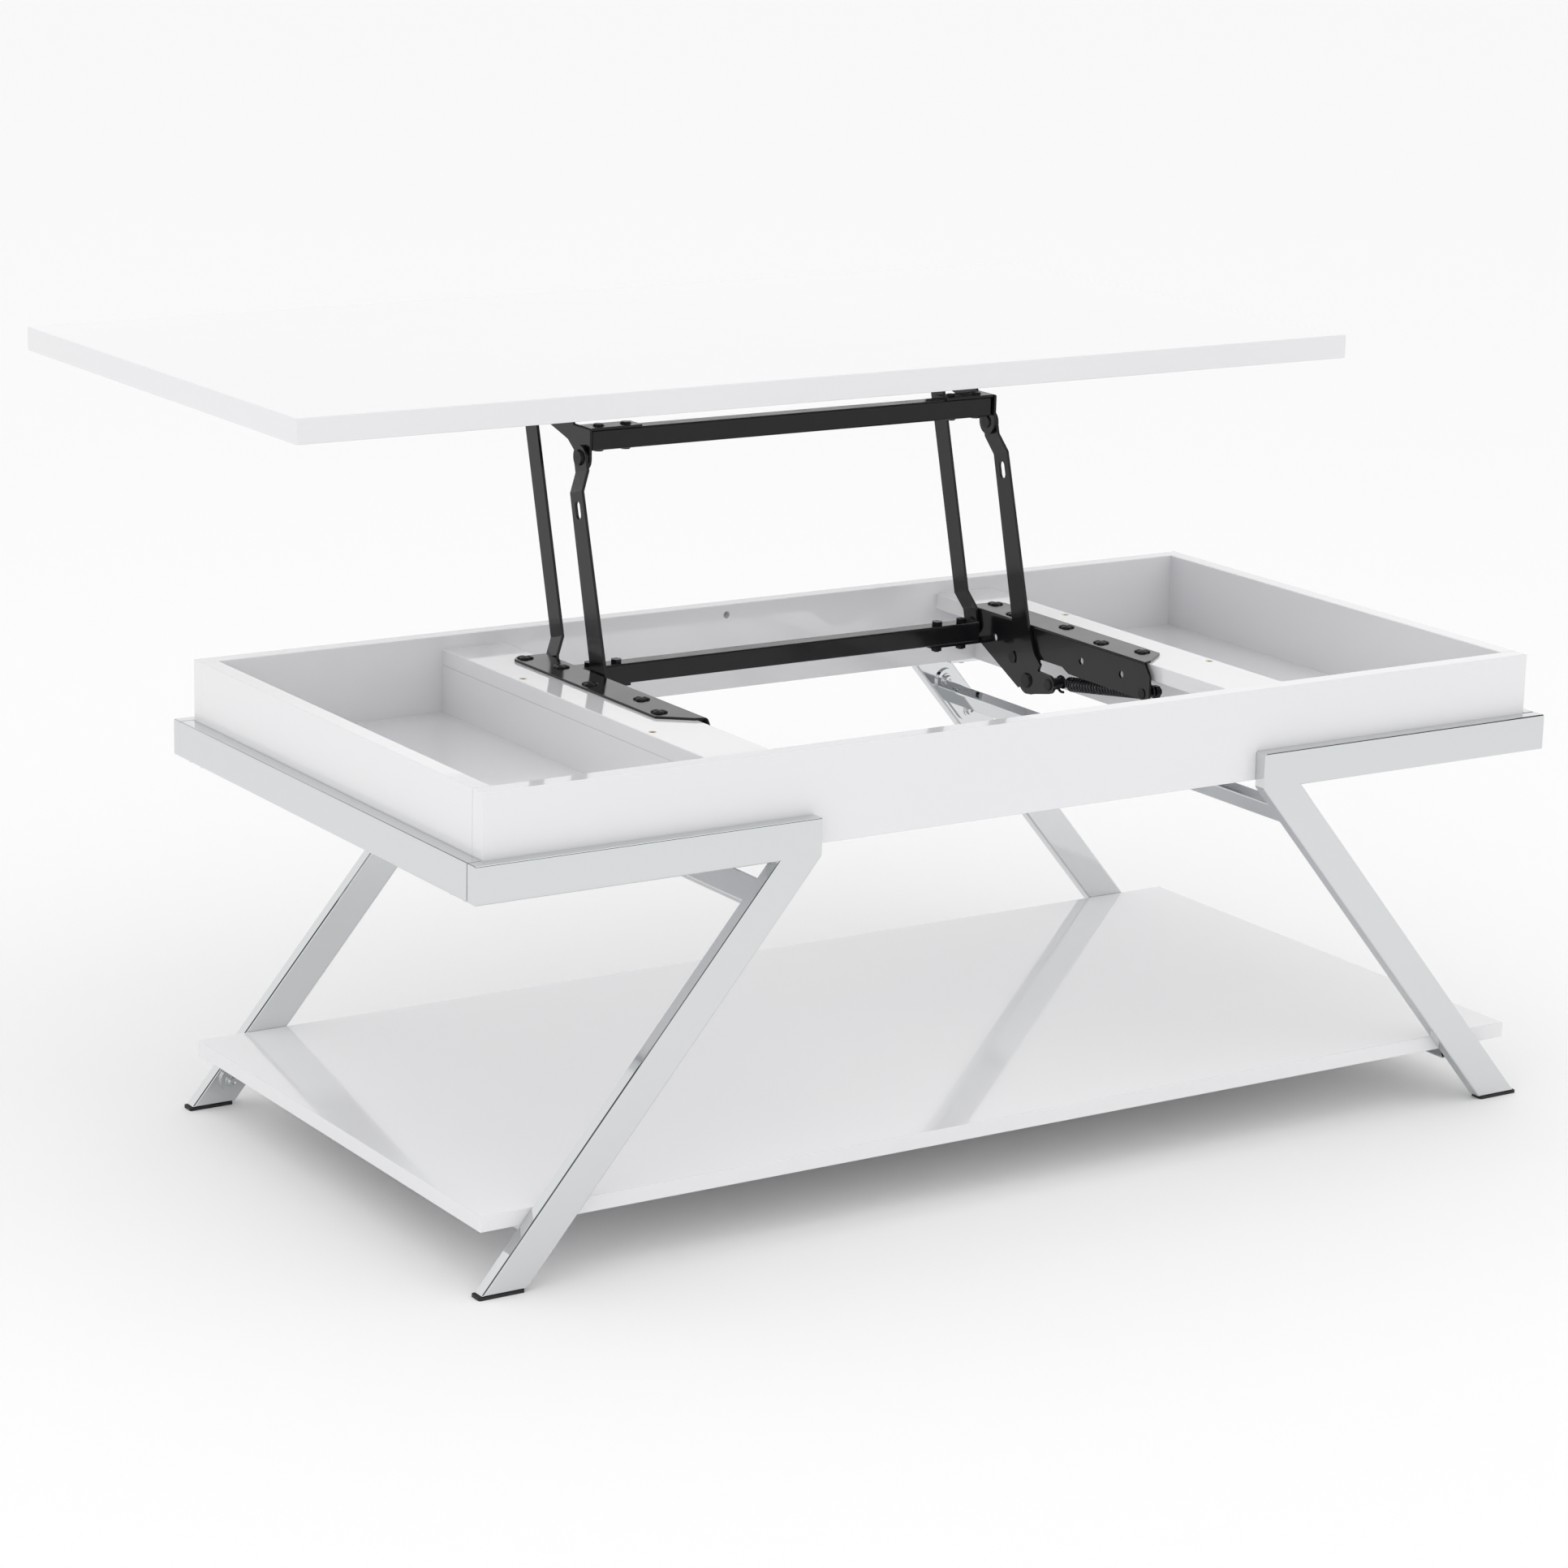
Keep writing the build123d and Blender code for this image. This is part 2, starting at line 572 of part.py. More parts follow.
for side, sx in sides.items():
    front_cut = Plane(origin=(0, *front_pivot), x_dir=lean_plane_u, z_dir=lean_plane_v)
    rear_cut = Plane(origin=(0, *rear_pivot), x_dir=lean_plane_u, z_dir=lean_plane_v)
    # x of the cutting planes runs up the arm, y runs along the table
    out = 1 if front_cut.y_dir.X * sx > 0 else -1

    with BuildPart() as front_arm:
        with BuildSketch(at_x(arm_top_in - 5, sx)):
            with Locations(front_pivot):
                Circle(front_arm_width / 2)
            with Locations(spring_pin):
                Circle(9.5)
            make_hull()
            with BuildLine():
                Polyline(
                    on_arm(front_pivot, 0, front_arm_width / 2),
                    on_arm(front_pivot, arm_length, front_arm_top_width / 2),
                    on_arm(front_pivot, arm_length, -front_arm_top_width / 2),
                    on_arm(front_pivot, 52, -front_arm_width / 2 + 0.5),
                    on_arm(front_pivot, 26, -front_arm_width / 2 - 4),
                    on_arm(front_pivot, 14, -front_arm_width / 2 - 12),
                    on_arm(front_pivot, 0, -front_arm_width / 2),
                    close=True,
                )
            make_face()
            with Locations(front_top):
                Circle(front_arm_top_width / 2 + 1)
        extrude(amount=sx * 30)
        with BuildSketch(front_cut):
            with BuildLine():
                Polyline(*[(up, out * away) for up, away in arm_profile(front_bend)], close=True)
            make_face()
        extrude(amount=80, both=True, mode=Mode.INTERSECT)
        with BuildSketch(at_x(arm_top_in - 5, sx)):
            with Locations(front_pivot, front_top):
                Circle(pin_radius + running)
            with Locations(spring_pin):
                Circle(pin_radius + 0.02)
            with Locations(Location((*on_arm(front_pivot, slot_place, 0), 0), (0, 0, 90 - lean_back))):
                SlotOverall(slot_length, slot_width)
        extrude(amount=sx * 30, mode=Mode.SUBTRACT)
    save(front_arm.part, f"front_arm_{side}")

    with BuildPart() as rear_arm:
        with BuildSketch(at_x(arm_top_in - 5, sx)):
            with Locations(rear_pivot, rear_top):
                Circle(rear_arm_width / 2)
            make_hull()
        extrude(amount=sx * 30)
        with BuildSketch(rear_cut):
            with BuildLine():
                Polyline(*[(up, out * away) for up, away in arm_profile(rear_bend)], close=True)
            make_face()
        extrude(amount=40, both=True, mode=Mode.INTERSECT)
        with BuildSketch(at_x(arm_top_in - 5, sx)):
            with Locations(rear_pivot, rear_top):
                Circle(pin_radius + running)
        extrude(amount=sx * 30, mode=Mode.SUBTRACT)
    save(rear_arm.part, f"rear_arm_{side}")

# ---------------------------------------------------------------- top brackets
top_web_out = top_web_in + sheet
top_flange_out = 264.0
top_screw_places = ((252.0, 196.0), (252.0, 225.0), (252.0, 254.0))
top_web_outline = (
    (140, upper_tube_top + sheet), (140, 640), (164, 640), (182, 653), (200, 658), (243, 669), (262, 688),
    (266, under_top_z), (184, under_top_z), (172, upper_tube_top + sheet),
)
for side, sx in sides.items():
    with BuildPart() as top_bracket:
        with BuildSketch(at_x(top_web_in, sx)):
            with BuildLine():
                Polyline(*top_web_outline, close=True)
            make_face()
            with Locations(front_top):
                Circle(12.6)
            with Locations(rear_top):
                Circle(12.0)
        extrude(amount=sx * sheet)
        with Locations((sx * (tab_inner + top_web_out) / 2, upper_tube_y, upper_tube_top + sheet / 2)):
            Box(top_web_out - tab_inner, 2 * tab_half + 6, sheet)
        with Locations((sx * (top_web_in + top_flange_out) / 2, 225, under_top_z - sheet / 2)):
            Box(top_flange_out - top_web_in, 82, sheet)
        fillet(bend_edges(top_bracket, top_web_out, upper_tube_top + sheet), radius=bend_out)
        fillet(bend_edges(top_bracket, top_web_in, under_top_z), radius=bend_out)
        with BuildSketch(at_x(top_web_in, sx)):
            with Locations(front_top, rear_top):
                Circle(pin_radius + running)
        extrude(amount=sx * sheet, mode=Mode.SUBTRACT)
        with BuildSketch(Plane.XY.offset(under_top_z)):
            with Locations(*[(sx * x, y) for x, y in top_screw_places]):
                Circle(2.3)
        extrude(amount=-sheet, mode=Mode.SUBTRACT)
        with BuildSketch(Plane.XY.offset(upper_tube_top + sheet)):
            with Locations(*[(sx * x, upper_tube_y) for x in tube_bolt_x]):
                Circle(bolt_radius + 0.1)
        extrude(amount=-sheet, mode=Mode.SUBTRACT)
    save(top_bracket.part, f"top_bracket_{side}")

with BuildPart() as top_bracket_screws:
    for sx in sides.values():
        places = [(sx * x, y) for x, y in top_screw_places]
        with BuildSketch(Plane.XY.offset(under_top_z - sheet)):
            with Locations(*places):
                Circle(4.6)
        extrude(amount=-2.0, taper=30)
        with BuildSketch(Plane.XY.offset(under_top_z - sheet)):
            with Locations(*places):
                Circle(2.0)
        extrude(amount=sheet)
save(top_bracket_screws.part, "top_bracket_screws")

# ---------------------------------------------------------------- square cross tubes and bolts
for name, reach, y, top in (
    ("lower_cross_tube", lower_tube_end, lower_tube_y, lower_tube_top),
    ("upper_cross_tube", upper_tube_end, upper_tube_y, upper_tube_top),
):
    with BuildPart() as tie_tube:
        with BuildSketch(Plane.YZ.offset(-reach)):
            with Locations((y, top - cross_tube / 2)):
                RectangleRounded(cross_tube, cross_tube, 2)
                RectangleRounded(cross_tube - 2 * cross_tube_wall, cross_tube - 2 * cross_tube_wall, 0.8,
                                 mode=Mode.SUBTRACT)
        extrude(amount=2 * reach)
        with BuildSketch(Plane.XY.offset(top)):
            with Locations(*[(sx * x, y) for sx in sides.values() for x in tube_bolt_x]):
                Circle(bolt_radius + 0.1)
        extrude(amount=-cross_tube, mode=Mode.SUBTRACT)
    save(tie_tube.part, name)

# The lower tube has hexagon bolts, heads on top and nuts underneath
bolt_places = [(sx * x, lower_tube_y) for sx in sides.values() for x in tube_bolt_x]
with BuildPart() as lower_tube_bolts:
    with BuildSketch(Plane.XY.offset(lower_tube_top)):
        with Locations(*bolt_places):
            RegularPolygon(5.8, 6)
    extrude(amount=3.6)
    with BuildSketch(Plane.XY.offset(lower_tube_top)):
        with Locations(*bolt_places):
            Circle(bolt_radius)
    extrude(amount=-cross_tube - sheet - 5.5)
    with BuildSketch(Plane.XY.offset(lower_tab_top - sheet)):
        with Locations(*bolt_places):
            RegularPolygon(5.8, 6)
    extrude(amount=-4.4)
save(lower_tube_bolts.part, "lower_tube_bolts")

# The upper tube has rivets with low round heads, which clear the panel when the top is down
rivet_places = [(sx * x, upper_tube_y) for sx in sides.values() for x in tube_bolt_x]
with BuildPart() as upper_tube_bolts:
    with BuildSketch(Plane.XY.offset(upper_tube_top + sheet)):
        with Locations(*rivet_places):
            Circle(6.0)
    extrude(amount=1.8, taper=40)
    with BuildSketch(Plane.XY.offset(upper_tube_top + sheet)):
        with Locations(*rivet_places):
            Circle(bolt_radius)
    extrude(amount=-cross_tube - sheet)
    with BuildSketch(Plane.XY.offset(upper_tube_top - cross_tube)):
        with Locations(*rivet_places):
            Circle(6.4)
    extrude(amount=-2.0, taper=40)
save(upper_tube_bolts.part, "upper_tube_bolts")

# ---------------------------------------------------------------- pivots, washers and stops
head_radius, head_rise, tail_radius, tail_rise = 8.0, 2.4, 6.6, 1.6
with BuildPart() as base_pivots:
    for sx in sides.values():
        with BuildSketch(at_x(arm_in - face_gap, sx)):
            with Locations(front_pivot, rear_pivot):
                Circle(head_radius)
        extrude(amount=-sx * head_rise, taper=25)
        with BuildSketch(at_x(arm_in - face_gap, sx)):
            with Locations(front_pivot, rear_pivot):
                Circle(pin_radius)
        extrude(amount=sx * (web_out - arm_in + face_gap))
        with BuildSketch(at_x(web_out, sx)):
            with Locations(front_pivot, rear_pivot):
                Circle(tail_radius)
        extrude(amount=sx * tail_rise, taper=25)
save(base_pivots.part, "base_pivots")

with BuildPart() as top_pivots:
    for sx in sides.values():
        arm_face = arm_top_in + steel + face_gap
        with BuildSketch(at_x(arm_face, sx)):
            with Locations(front_top, rear_top):
                Circle(head_radius)
        extrude(amount=sx * head_rise, taper=25)
        with BuildSketch(at_x(top_web_in, sx)):
            with Locations(front_top, rear_top):
                Circle(pin_radius)
        extrude(amount=sx * (arm_face - top_web_in))
        with BuildSketch(at_x(top_web_in, sx)):
            with Locations(front_top, rear_top):
                Circle(tail_radius)
        extrude(amount=-sx * tail_rise, taper=25)
save(top_pivots.part, "top_pivots")

for name, web_face, arm_face, places in (
    ("base_washers", web_in, arm_in + steel + face_gap, (front_pivot, rear_pivot)),
    ("top_washers", top_web_out, arm_top_in - face_gap, (front_top, rear_top)),
):
    with BuildPart() as washers:
        for sx in sides.values():
            with BuildSketch(at_x(web_face, sx)):
                with Locations(*places):
                    Circle(9)
                    Circle(pin_radius + 0.2, mode=Mode.SUBTRACT)
            extrude(amount=sx * (arm_face - web_face))
    save(washers.part, name)

stop_radius, stop_gap, stop_up = 6.0, 0.3, 25.0
edge_lean = degrees(atan2((front_arm_width - front_arm_top_width) / 2, arm_length))
stop_across = front_arm_width / 2 - stop_up * tan(radians(edge_lean)) + stop_radius + stop_gap
stop_place = on_arm(front_pivot, stop_up, stop_across)
with BuildPart() as arm_stop_pins:
    for sx in sides.values():
        with BuildSketch(at_x(web_in, sx)):
            with Locations(stop_place):
                Circle(stop_radius)
        extrude(amount=-sx * 5)
save(arm_stop_pins.part, "arm_stop_pins")

# ---------------------------------------------------------------- springs and their pins
spring_radius, wire_radius, coils = 7.6, 1.15, 46
with BuildPart() as spring_anchor_pins:
    for sx in sides.values():
        with BuildSketch(at_x(web_in, sx)):
            with Locations(anchor):
                Circle(5.2)
        extrude(amount=-sx * 0.9)
        with BuildSketch(at_x(web_in, sx)):
            with Locations(anchor):
                Circle(pin_radius)
        extrude(amount=sx * 22)
        with BuildSketch(at_x(web_out, sx)):
            with Locations(anchor):
                Circle(6.5)
        extrude(amount=sx * 4.5)
        with BuildSketch(at_x(web_in + 14.5, sx)):
            with Locations(anchor):
                RegularPolygon(7.0, 6)
        extrude(amount=sx * 5)
save(spring_anchor_pins.part, "spring_anchor_pins")

with BuildPart() as spring_lever_pins:
    for sx in sides.values():
        with BuildSketch(at_x(arm_in, sx)):
            with Locations(spring_pin):
                Circle(6.0)
        extrude(amount=-sx * 1.6, taper=20)
        with BuildSketch(at_x(arm_in, sx)):
            with Locations(spring_pin):
                Circle(pin_radius)
        extrude(amount=sx * 20.5)
        with BuildSketch(at_x(arm_in + steel, sx)):
            with Locations(spring_pin):
                Circle(6.0)
        extrude(amount=sx * 9.5)
        with BuildSketch(at_x(arm_in + 17.5, sx)):
            with Locations(spring_pin):
                Circle(6.0)
        extrude(amount=sx * 1.5)
save(spring_lever_pins.part, "spring_lever_pins")

# Each spring runs from a loop on the anchor pin, through a close-wound coil, to a loop on the lever pin
run_y, run_z = spring_pin[0] - anchor[0], spring_pin[1] - anchor[1]
spring_length = hypot(run_y, run_z)
spring_dir = Vector(0, run_y / spring_length, run_z / spring_length)
loop_radius = pin_radius + wire_radius + 0.1
coil_start, coil_end = 13.0, spring_length - 19.0
with BuildPart() as lift_springs:
    for sx in sides.values():
        pin_at = Vector(sx * spring_x, *anchor)
        coil_plane = Plane(origin=pin_at + spring_dir * coil_start, x_dir=(1, 0, 0), z_dir=spring_dir)
        with BuildLine() as coil_line:
            Helix((coil_end - coil_start) / coils, coil_end - coil_start, spring_radius - wire_radius,
                  center=coil_plane.origin, direction=spring_dir)
        with BuildSketch(Plane(origin=coil_line.line @ 0, z_dir=coil_line.line % 0)):
            Circle(wire_radius)
        sweep()
        with Locations(Plane(origin=pin_at + spring_dir * (coil_start - wire_radius), z_dir=spring_dir)):
            Cylinder(spring_radius, 2 * wire_radius)
        neck = coil_start - loop_radius
        with Locations(Plane(origin=pin_at + spring_dir * (loop_radius + neck / 2), z_dir=spring_dir)):
            Cylinder(wire_radius, neck)
        with Locations(Plane(origin=pin_at, z_dir=(1, 0, 0))):
            Torus(loop_radius, wire_radius)
save(lift_springs.part, "lift_springs")

with BuildPart() as spring_hooks:
    for sx in sides.values():
        pin_at = Vector(sx * spring_x, *spring_pin)
        neck = spring_length - coil_end - loop_radius
        with Locations(Plane(origin=pin_at - spring_dir * (loop_radius + neck / 2), z_dir=spring_dir)):
            Cylinder(wire_radius, neck)
        with Locations(Plane(origin=pin_at, z_dir=(1, 0, 0))):
            Torus(loop_radius, wire_radius)
        with Locations(Plane(origin=pin_at - spring_dir * (loop_radius + neck - wire_radius),
                             z_dir=spring_dir)):
            Cylinder(spring_radius - 2 * wire_radius - 0.4, 2 * wire_radius)
save(spring_hooks.part, "spring_hooks")
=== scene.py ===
import math

import bmesh
import bpy
from mathutils import Matrix, Vector


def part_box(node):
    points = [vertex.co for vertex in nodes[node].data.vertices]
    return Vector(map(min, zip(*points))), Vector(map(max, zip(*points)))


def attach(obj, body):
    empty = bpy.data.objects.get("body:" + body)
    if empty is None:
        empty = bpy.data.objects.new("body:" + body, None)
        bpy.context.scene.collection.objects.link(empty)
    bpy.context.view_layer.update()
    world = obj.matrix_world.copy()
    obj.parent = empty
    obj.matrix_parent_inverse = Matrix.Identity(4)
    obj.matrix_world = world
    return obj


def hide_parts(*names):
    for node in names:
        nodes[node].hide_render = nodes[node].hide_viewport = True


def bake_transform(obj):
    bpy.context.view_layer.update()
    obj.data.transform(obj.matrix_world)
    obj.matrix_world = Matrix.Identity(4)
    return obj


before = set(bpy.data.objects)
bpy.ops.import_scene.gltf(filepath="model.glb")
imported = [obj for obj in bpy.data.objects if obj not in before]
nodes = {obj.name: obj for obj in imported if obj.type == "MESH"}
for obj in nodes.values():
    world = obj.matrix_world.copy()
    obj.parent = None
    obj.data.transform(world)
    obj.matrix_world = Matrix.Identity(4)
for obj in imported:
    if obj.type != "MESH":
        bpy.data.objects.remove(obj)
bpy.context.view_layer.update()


# ---------------------------------------------------------------------------------------------
# Z frames: flat tube of mild steel, nickel and chromium plated, one rail and one slanted leg
# each, welded where they meet. Plating this bright mirrors the room, and only shallow ripples
# in the tube wall and a faint haze of handling show on it.
def linear(code):
    """Linear RGBA of an sRGB hex colour."""
    channels = [int(code[i : i + 2], 16) / 255 for i in (1, 3, 5)]
    return [c / 12.92 if c <= 0.04045 else ((c + 0.055) / 1.055) ** 2.4 for c in channels] + [1]


def add_node(material, kind, links=(), **sockets):
    """A new node with its sockets set; links are (socket of this node, output that feeds it)."""
    node = material.node_tree.nodes.new(kind)
    for name, value in sockets.items():
        node.inputs[name.replace("_", " ")].default_value = value
    for socket, output in links:
        material.node_tree.links.new(output, node.inputs[socket])
    return node


def new_material(name, **sockets):
    """A material with only a Principled shader, and that shader."""
    material = bpy.data.materials.new(name)
    material.use_nodes = True
    shader = material.node_tree.nodes["Principled BSDF"]
    for socket, value in sockets.items():
        shader.inputs[socket.replace("_", " ")].default_value = value
    return material, shader


def vary(material, shader, size, low, high, socket="Roughness", stretch=(1, 1, 1)):
    """Drives a socket between two values with soft noise of a real size in metres."""
    place = add_node(material, "ShaderNodeTexCoord")
    mapping = add_node(
        material, "ShaderNodeMapping", [("Vector", place.outputs["Object"])], Scale=stretch
    )
    noise = add_node(
        material,
        "ShaderNodeTexNoise",
        [("Vector", mapping.outputs["Vector"])],
        Scale=1 / size,
        Detail=3,
    )
    remap = add_node(
        material,
        "ShaderNodeMapRange",
        [("Value", noise.outputs["Fac"])],
        From_Min=0.3,
        From_Max=0.7,
        To_Min=low,
        To_Max=high,
    )
    material.node_tree.links.new(remap.outputs["Result"], shader.inputs[socket])


def roughen(material, shader, size, depth, stretch=(1, 1, 1)):
    """Bumps the surface with noise of a real size and depth in metres."""
    place = add_node(material, "ShaderNodeTexCoord")
    mapping = add_node(
        material, "ShaderNodeMapping", [("Vector", place.outputs["Object"])], Scale=stretch
    )
    noise = add_node(
        material,
        "ShaderNodeTexNoise",
        [("Vector", mapping.outputs["Vector"])],
        Scale=1 / size,
        Detail=2,
    )
    bump = add_node(
        material, "ShaderNodeBump", [("Height", noise.outputs["Fac"])], Distance=depth, Strength=1
    )
    material.node_tree.links.new(bump.outputs["Normal"], shader.inputs["Normal"])


def paint(material, *names):
    """Gives CAD nodes a material."""
    for name in names:
        mesh = nodes[name].data
        mesh.materials.clear()
        mesh.materials.append(material)


chrome, chrome_shader = new_material("chromium_plate", Base_Color=linear("#d8dadb"), Metallic=1)
vary(chrome, chrome_shader, 0.12, 0.045, 0.10)
roughen(chrome, chrome_shader, 0.25, 0.00018, (0.3, 0.3, 1))


def new_piece(name, form, material, body):
    """A finished mesh object of a bmesh, on a CAD body."""
    mesh = bpy.data.meshes.new(name)
    form.to_mesh(mesh)
    form.free()
    mesh.shade_smooth()
    mesh.materials.append(material)
    piece = bpy.data.objects.new(name, mesh)
    bpy.context.collection.objects.link(piece)
    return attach(piece, body)


def round_edges(piece, radius, segments=4):
    """Rounds a piece's sharp edges and keeps its flat faces flat."""
    bevel = piece.modifiers.new("round", "BEVEL")
    bevel.width = radius
    bevel.segments = segments
    bevel.limit_method = "ANGLE"
    bevel.angle_limit = math.radians(20)
    bevel.harden_normals = True


def prism(form, outline, depth):
    """A closed outline of points, filled and extruded along a vector."""
    face = form.faces.new([form.verts.new(point) for point in outline])
    grown = bmesh.ops.extrude_face_region(form, geom=[face])["geom"]
    moved = [part for part in grown if isinstance(part, bmesh.types.BMVert)]
    bmesh.ops.translate(form, verts=moved, vec=depth)
    bmesh.ops.recalc_face_normals(form, faces=form.faces)


tube_height = 0.035
tube_round = 0.0018
for end in ("front", "back"):
    for side, sign in (("left", -1), ("right", 1)):
        rail_low, rail_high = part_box(f"rail_{end}_{side}")
        leg_low, leg_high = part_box(f"leg_{end}_{side}")
        knee = min(abs(leg_low.x), abs(leg_high.x))
        foot = max(abs(leg_low.x), abs(leg_high.x))
        table_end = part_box("rail_end_plates")[1].x
        run, drop = foot - knee, leg_high.z - leg_low.z
        slope = math.radians(40)
        for _ in range(12):
            slope = math.atan((run - tube_height / math.cos(slope)) / drop)
        cut = tube_height / math.cos(slope)
        outline = (
            (table_end, rail_low.z),
            (table_end, rail_high.z),
            (knee, rail_high.z),
            (knee, rail_low.z),
            (foot - cut, leg_low.z),
            (foot, leg_low.z),
            (knee + cut, rail_low.z),
        )
        z_form = bmesh.new()
        prism(
            z_form,
            [(sign * x, rail_low.y, z) for x, z in outline],
            (0, rail_high.y - rail_low.y, 0),
        )
        z_frame = new_piece(f"z_frame_{end}_{side}", z_form, chrome, "base")
        round_edges(z_frame, tube_round)
        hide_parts(f"rail_{end}_{side}", f"leg_{end}_{side}", "rail_end_plates")
paint(chrome, "side_rail_left", "side_rail_right")

# ---------------------------------------------------------------------------------------------
# Cross bars and the tabs that carry the tray: the same plated tube and pressed plate, with
# zinc plated bolts. The bars hold the front and back Z frames apart.
paint(chrome, "upper_cross_bar_left", "upper_cross_bar_right")
paint(chrome, "lower_cross_bar_left", "lower_cross_bar_right")
paint(chrome, "cross_bar_plates", "cross_bar_bolts", "tray_tabs", "side_rail_screws")

zinc, zinc_shader = new_material("zinc_plated_steel", Base_Color=linear("#a9acb1"), Metallic=1)
vary(zinc, zinc_shader, 0.004, 0.24, 0.38)
roughen(zinc, zinc_shader, 0.0015, 0.00003)
paint(zinc, "corner_tongues", "shelf_screws", "tray_screws", "top_bracket_screws")

# ---------------------------------------------------------------------------------------------
# Foot pads: soles of black polyethylene pushed up into the legs. The moulding is matt, with
# a fine spark-eroded grain.
pad, pad_shader = new_material("moulded_polyethylene", Base_Color=linear("#1b1b1c"))
vary(pad, pad_shader, 0.006, 0.5, 0.66)
roughen(pad, pad_shader, 0.0009, 0.00005)
paint(pad, "foot_pads")

# ---------------------------------------------------------------------------------------------
# Tray, shelf and top: fibreboard sprayed with white polyester lacquer and polished. The gloss
# is close to glass, over a very shallow orange peel, and the white drifts slightly in tone.
lacquer, lacquer_shader = new_material(
    "polished_white_lacquer", IOR=1.52, Coat_Weight=0.6, Coat_Roughness=0.02, Coat_IOR=1.5
)
vary(lacquer, lacquer_shader, 0.15, 0.06, 0.13)
roughen(lacquer, lacquer_shader, 0.009, 0.000012)
tone_place = add_node(lacquer, "ShaderNodeTexCoord")
tone_noise = add_node(
    lacquer, "ShaderNodeTexNoise", [("Vector", tone_place.outputs["Object"])], Scale=3, Detail=2
)
tone = add_node(
    lacquer,
    "ShaderNodeMix",
    [("Factor", tone_noise.outputs["Fac"])],
)
tone.data_type = "RGBA"
tone.inputs[6].default_value = linear("#e6e6e9")
tone.inputs[7].default_value = linear("#eaeaeb")
lacquer.node_tree.links.new(tone.outputs[2], lacquer_shader.inputs["Base Color"])
paint(lacquer, "top_panel", "shelf_panel", "tray_front_panel", "tray_back_panel")
paint(lacquer, "tray_left_panel", "tray_right_panel", "divider_left", "divider_right")
paint(lacquer, "compartment_floor_left", "compartment_floor_right")
paint(lacquer, "mounting_board_left", "mounting_board_right")

beech, beech_shader = new_material("beech_dowel", Roughness=0.7)
grain_place = add_node(beech, "ShaderNodeTexCoord")
grain = add_node(beech, "ShaderNodeTexWave", [("Vector", grain_place.outputs["Object"])], Scale=400)
grain_mix = add_node(beech, "ShaderNodeMix", [("Factor", grain.outputs["Fac"])])
grain_mix.data_type = "RGBA"
grain_mix.inputs[6].default_value = linear("#c79f6d")
grain_mix.inputs[7].default_value = linear("#d9b98b")
beech.node_tree.links.new(grain_mix.outputs[2], beech_shader.inputs["Base Color"])
paint(beech, "corner_dowels")

brass, brass_shader = new_material("brass_plated_screw", Base_Color=linear("#c8b27a"), Metallic=1)
vary(brass, brass_shader, 0.002, 0.2, 0.36)
paint(brass, "board_screws")

# ---------------------------------------------------------------------------------------------
# Lift mechanism: pressed steel and square tube, powder coated black. The coat is satin with a
# fine texture and levels to a soft sheen that greys under a broad light.
powder, powder_shader = new_material(
    "black_powder_coat", Base_Color=linear("#151517"), IOR=1.33, Coat_Weight=0.08, Coat_Roughness=0.05
)
vary(powder, powder_shader, 0.03, 0.12, 0.22)
roughen(powder, powder_shader, 0.0025, 0.00002)
for side in ("left", "right"):
    paint(powder, f"base_bracket_{side}", f"front_arm_{side}", f"rear_arm_{side}")
paint(powder, "top_bracket_left", "top_bracket_right", "lower_cross_tube", "upper_cross_tube")
oxide, oxide_shader = new_material("black_oxide_steel", Base_Color=linear("#17171a"), Metallic=0.6)
vary(oxide, oxide_shader, 0.003, 0.28, 0.42)
paint(oxide, "lower_tube_bolts", "upper_tube_bolts", "base_pivots", "top_pivots")
paint(oxide, "base_washers", "top_washers", "arm_stop_pins", "spring_anchor_pins", "spring_lever_pins")

# ---------------------------------------------------------------------------------------------
# Bracket screws: pan heads of blacked steel with a cross recess, pressed flat on each flange.
# A forged head has a low dome, and its recess stays slightly rounded under the blacking.
def places(node, reach):
    """Box centres of a CAD node's separate solids that stand more than a reach apart."""
    groups = []
    for vertex in nodes[node].data.vertices:
        near = [g for g in groups if (g[0].xy - vertex.co.xy).length < reach]
        if near:
            near[0].append(vertex.co)
        else:
            groups.append([vertex.co])
    return [
        Vector([(min(co[i] for co in g) + max(co[i] for co in g)) / 2 for i in range(3)])
        for g in groups
    ]


head_radius, head_rise = 0.0052, 0.0022
recess_length, recess_width, recess_depth = 0.0052, 0.0011, 0.0012
head_form = bmesh.new()
profile = [(0, 0), (head_radius, 0)]
profile += [
    (head_radius * math.cos(math.radians(a)), head_rise * (0.25 + 0.75 * math.sin(math.radians(a))))
    for a in range(10, 91, 10)
]
rim = [head_form.verts.new((x, 0, z)) for x, z in profile]
lines = [head_form.edges.new(pair) for pair in zip(rim, rim[1:])]
bmesh.ops.spin(
    head_form,
    geom=rim + lines,
    cent=(0, 0, 0),
    axis=(0, 0, 1),
    angle=2 * math.pi,
    steps=32,
    use_merge=True,
)
bmesh.ops.remove_doubles(head_form, verts=head_form.verts, dist=1e-6)
bmesh.ops.recalc_face_normals(head_form, faces=head_form.faces)
head_mesh = bpy.data.meshes.new("screw_head")
head_form.to_mesh(head_mesh)
head_form.free()
head = bpy.data.objects.new("screw_head", head_mesh)
bpy.context.collection.objects.link(head)
cutters = []
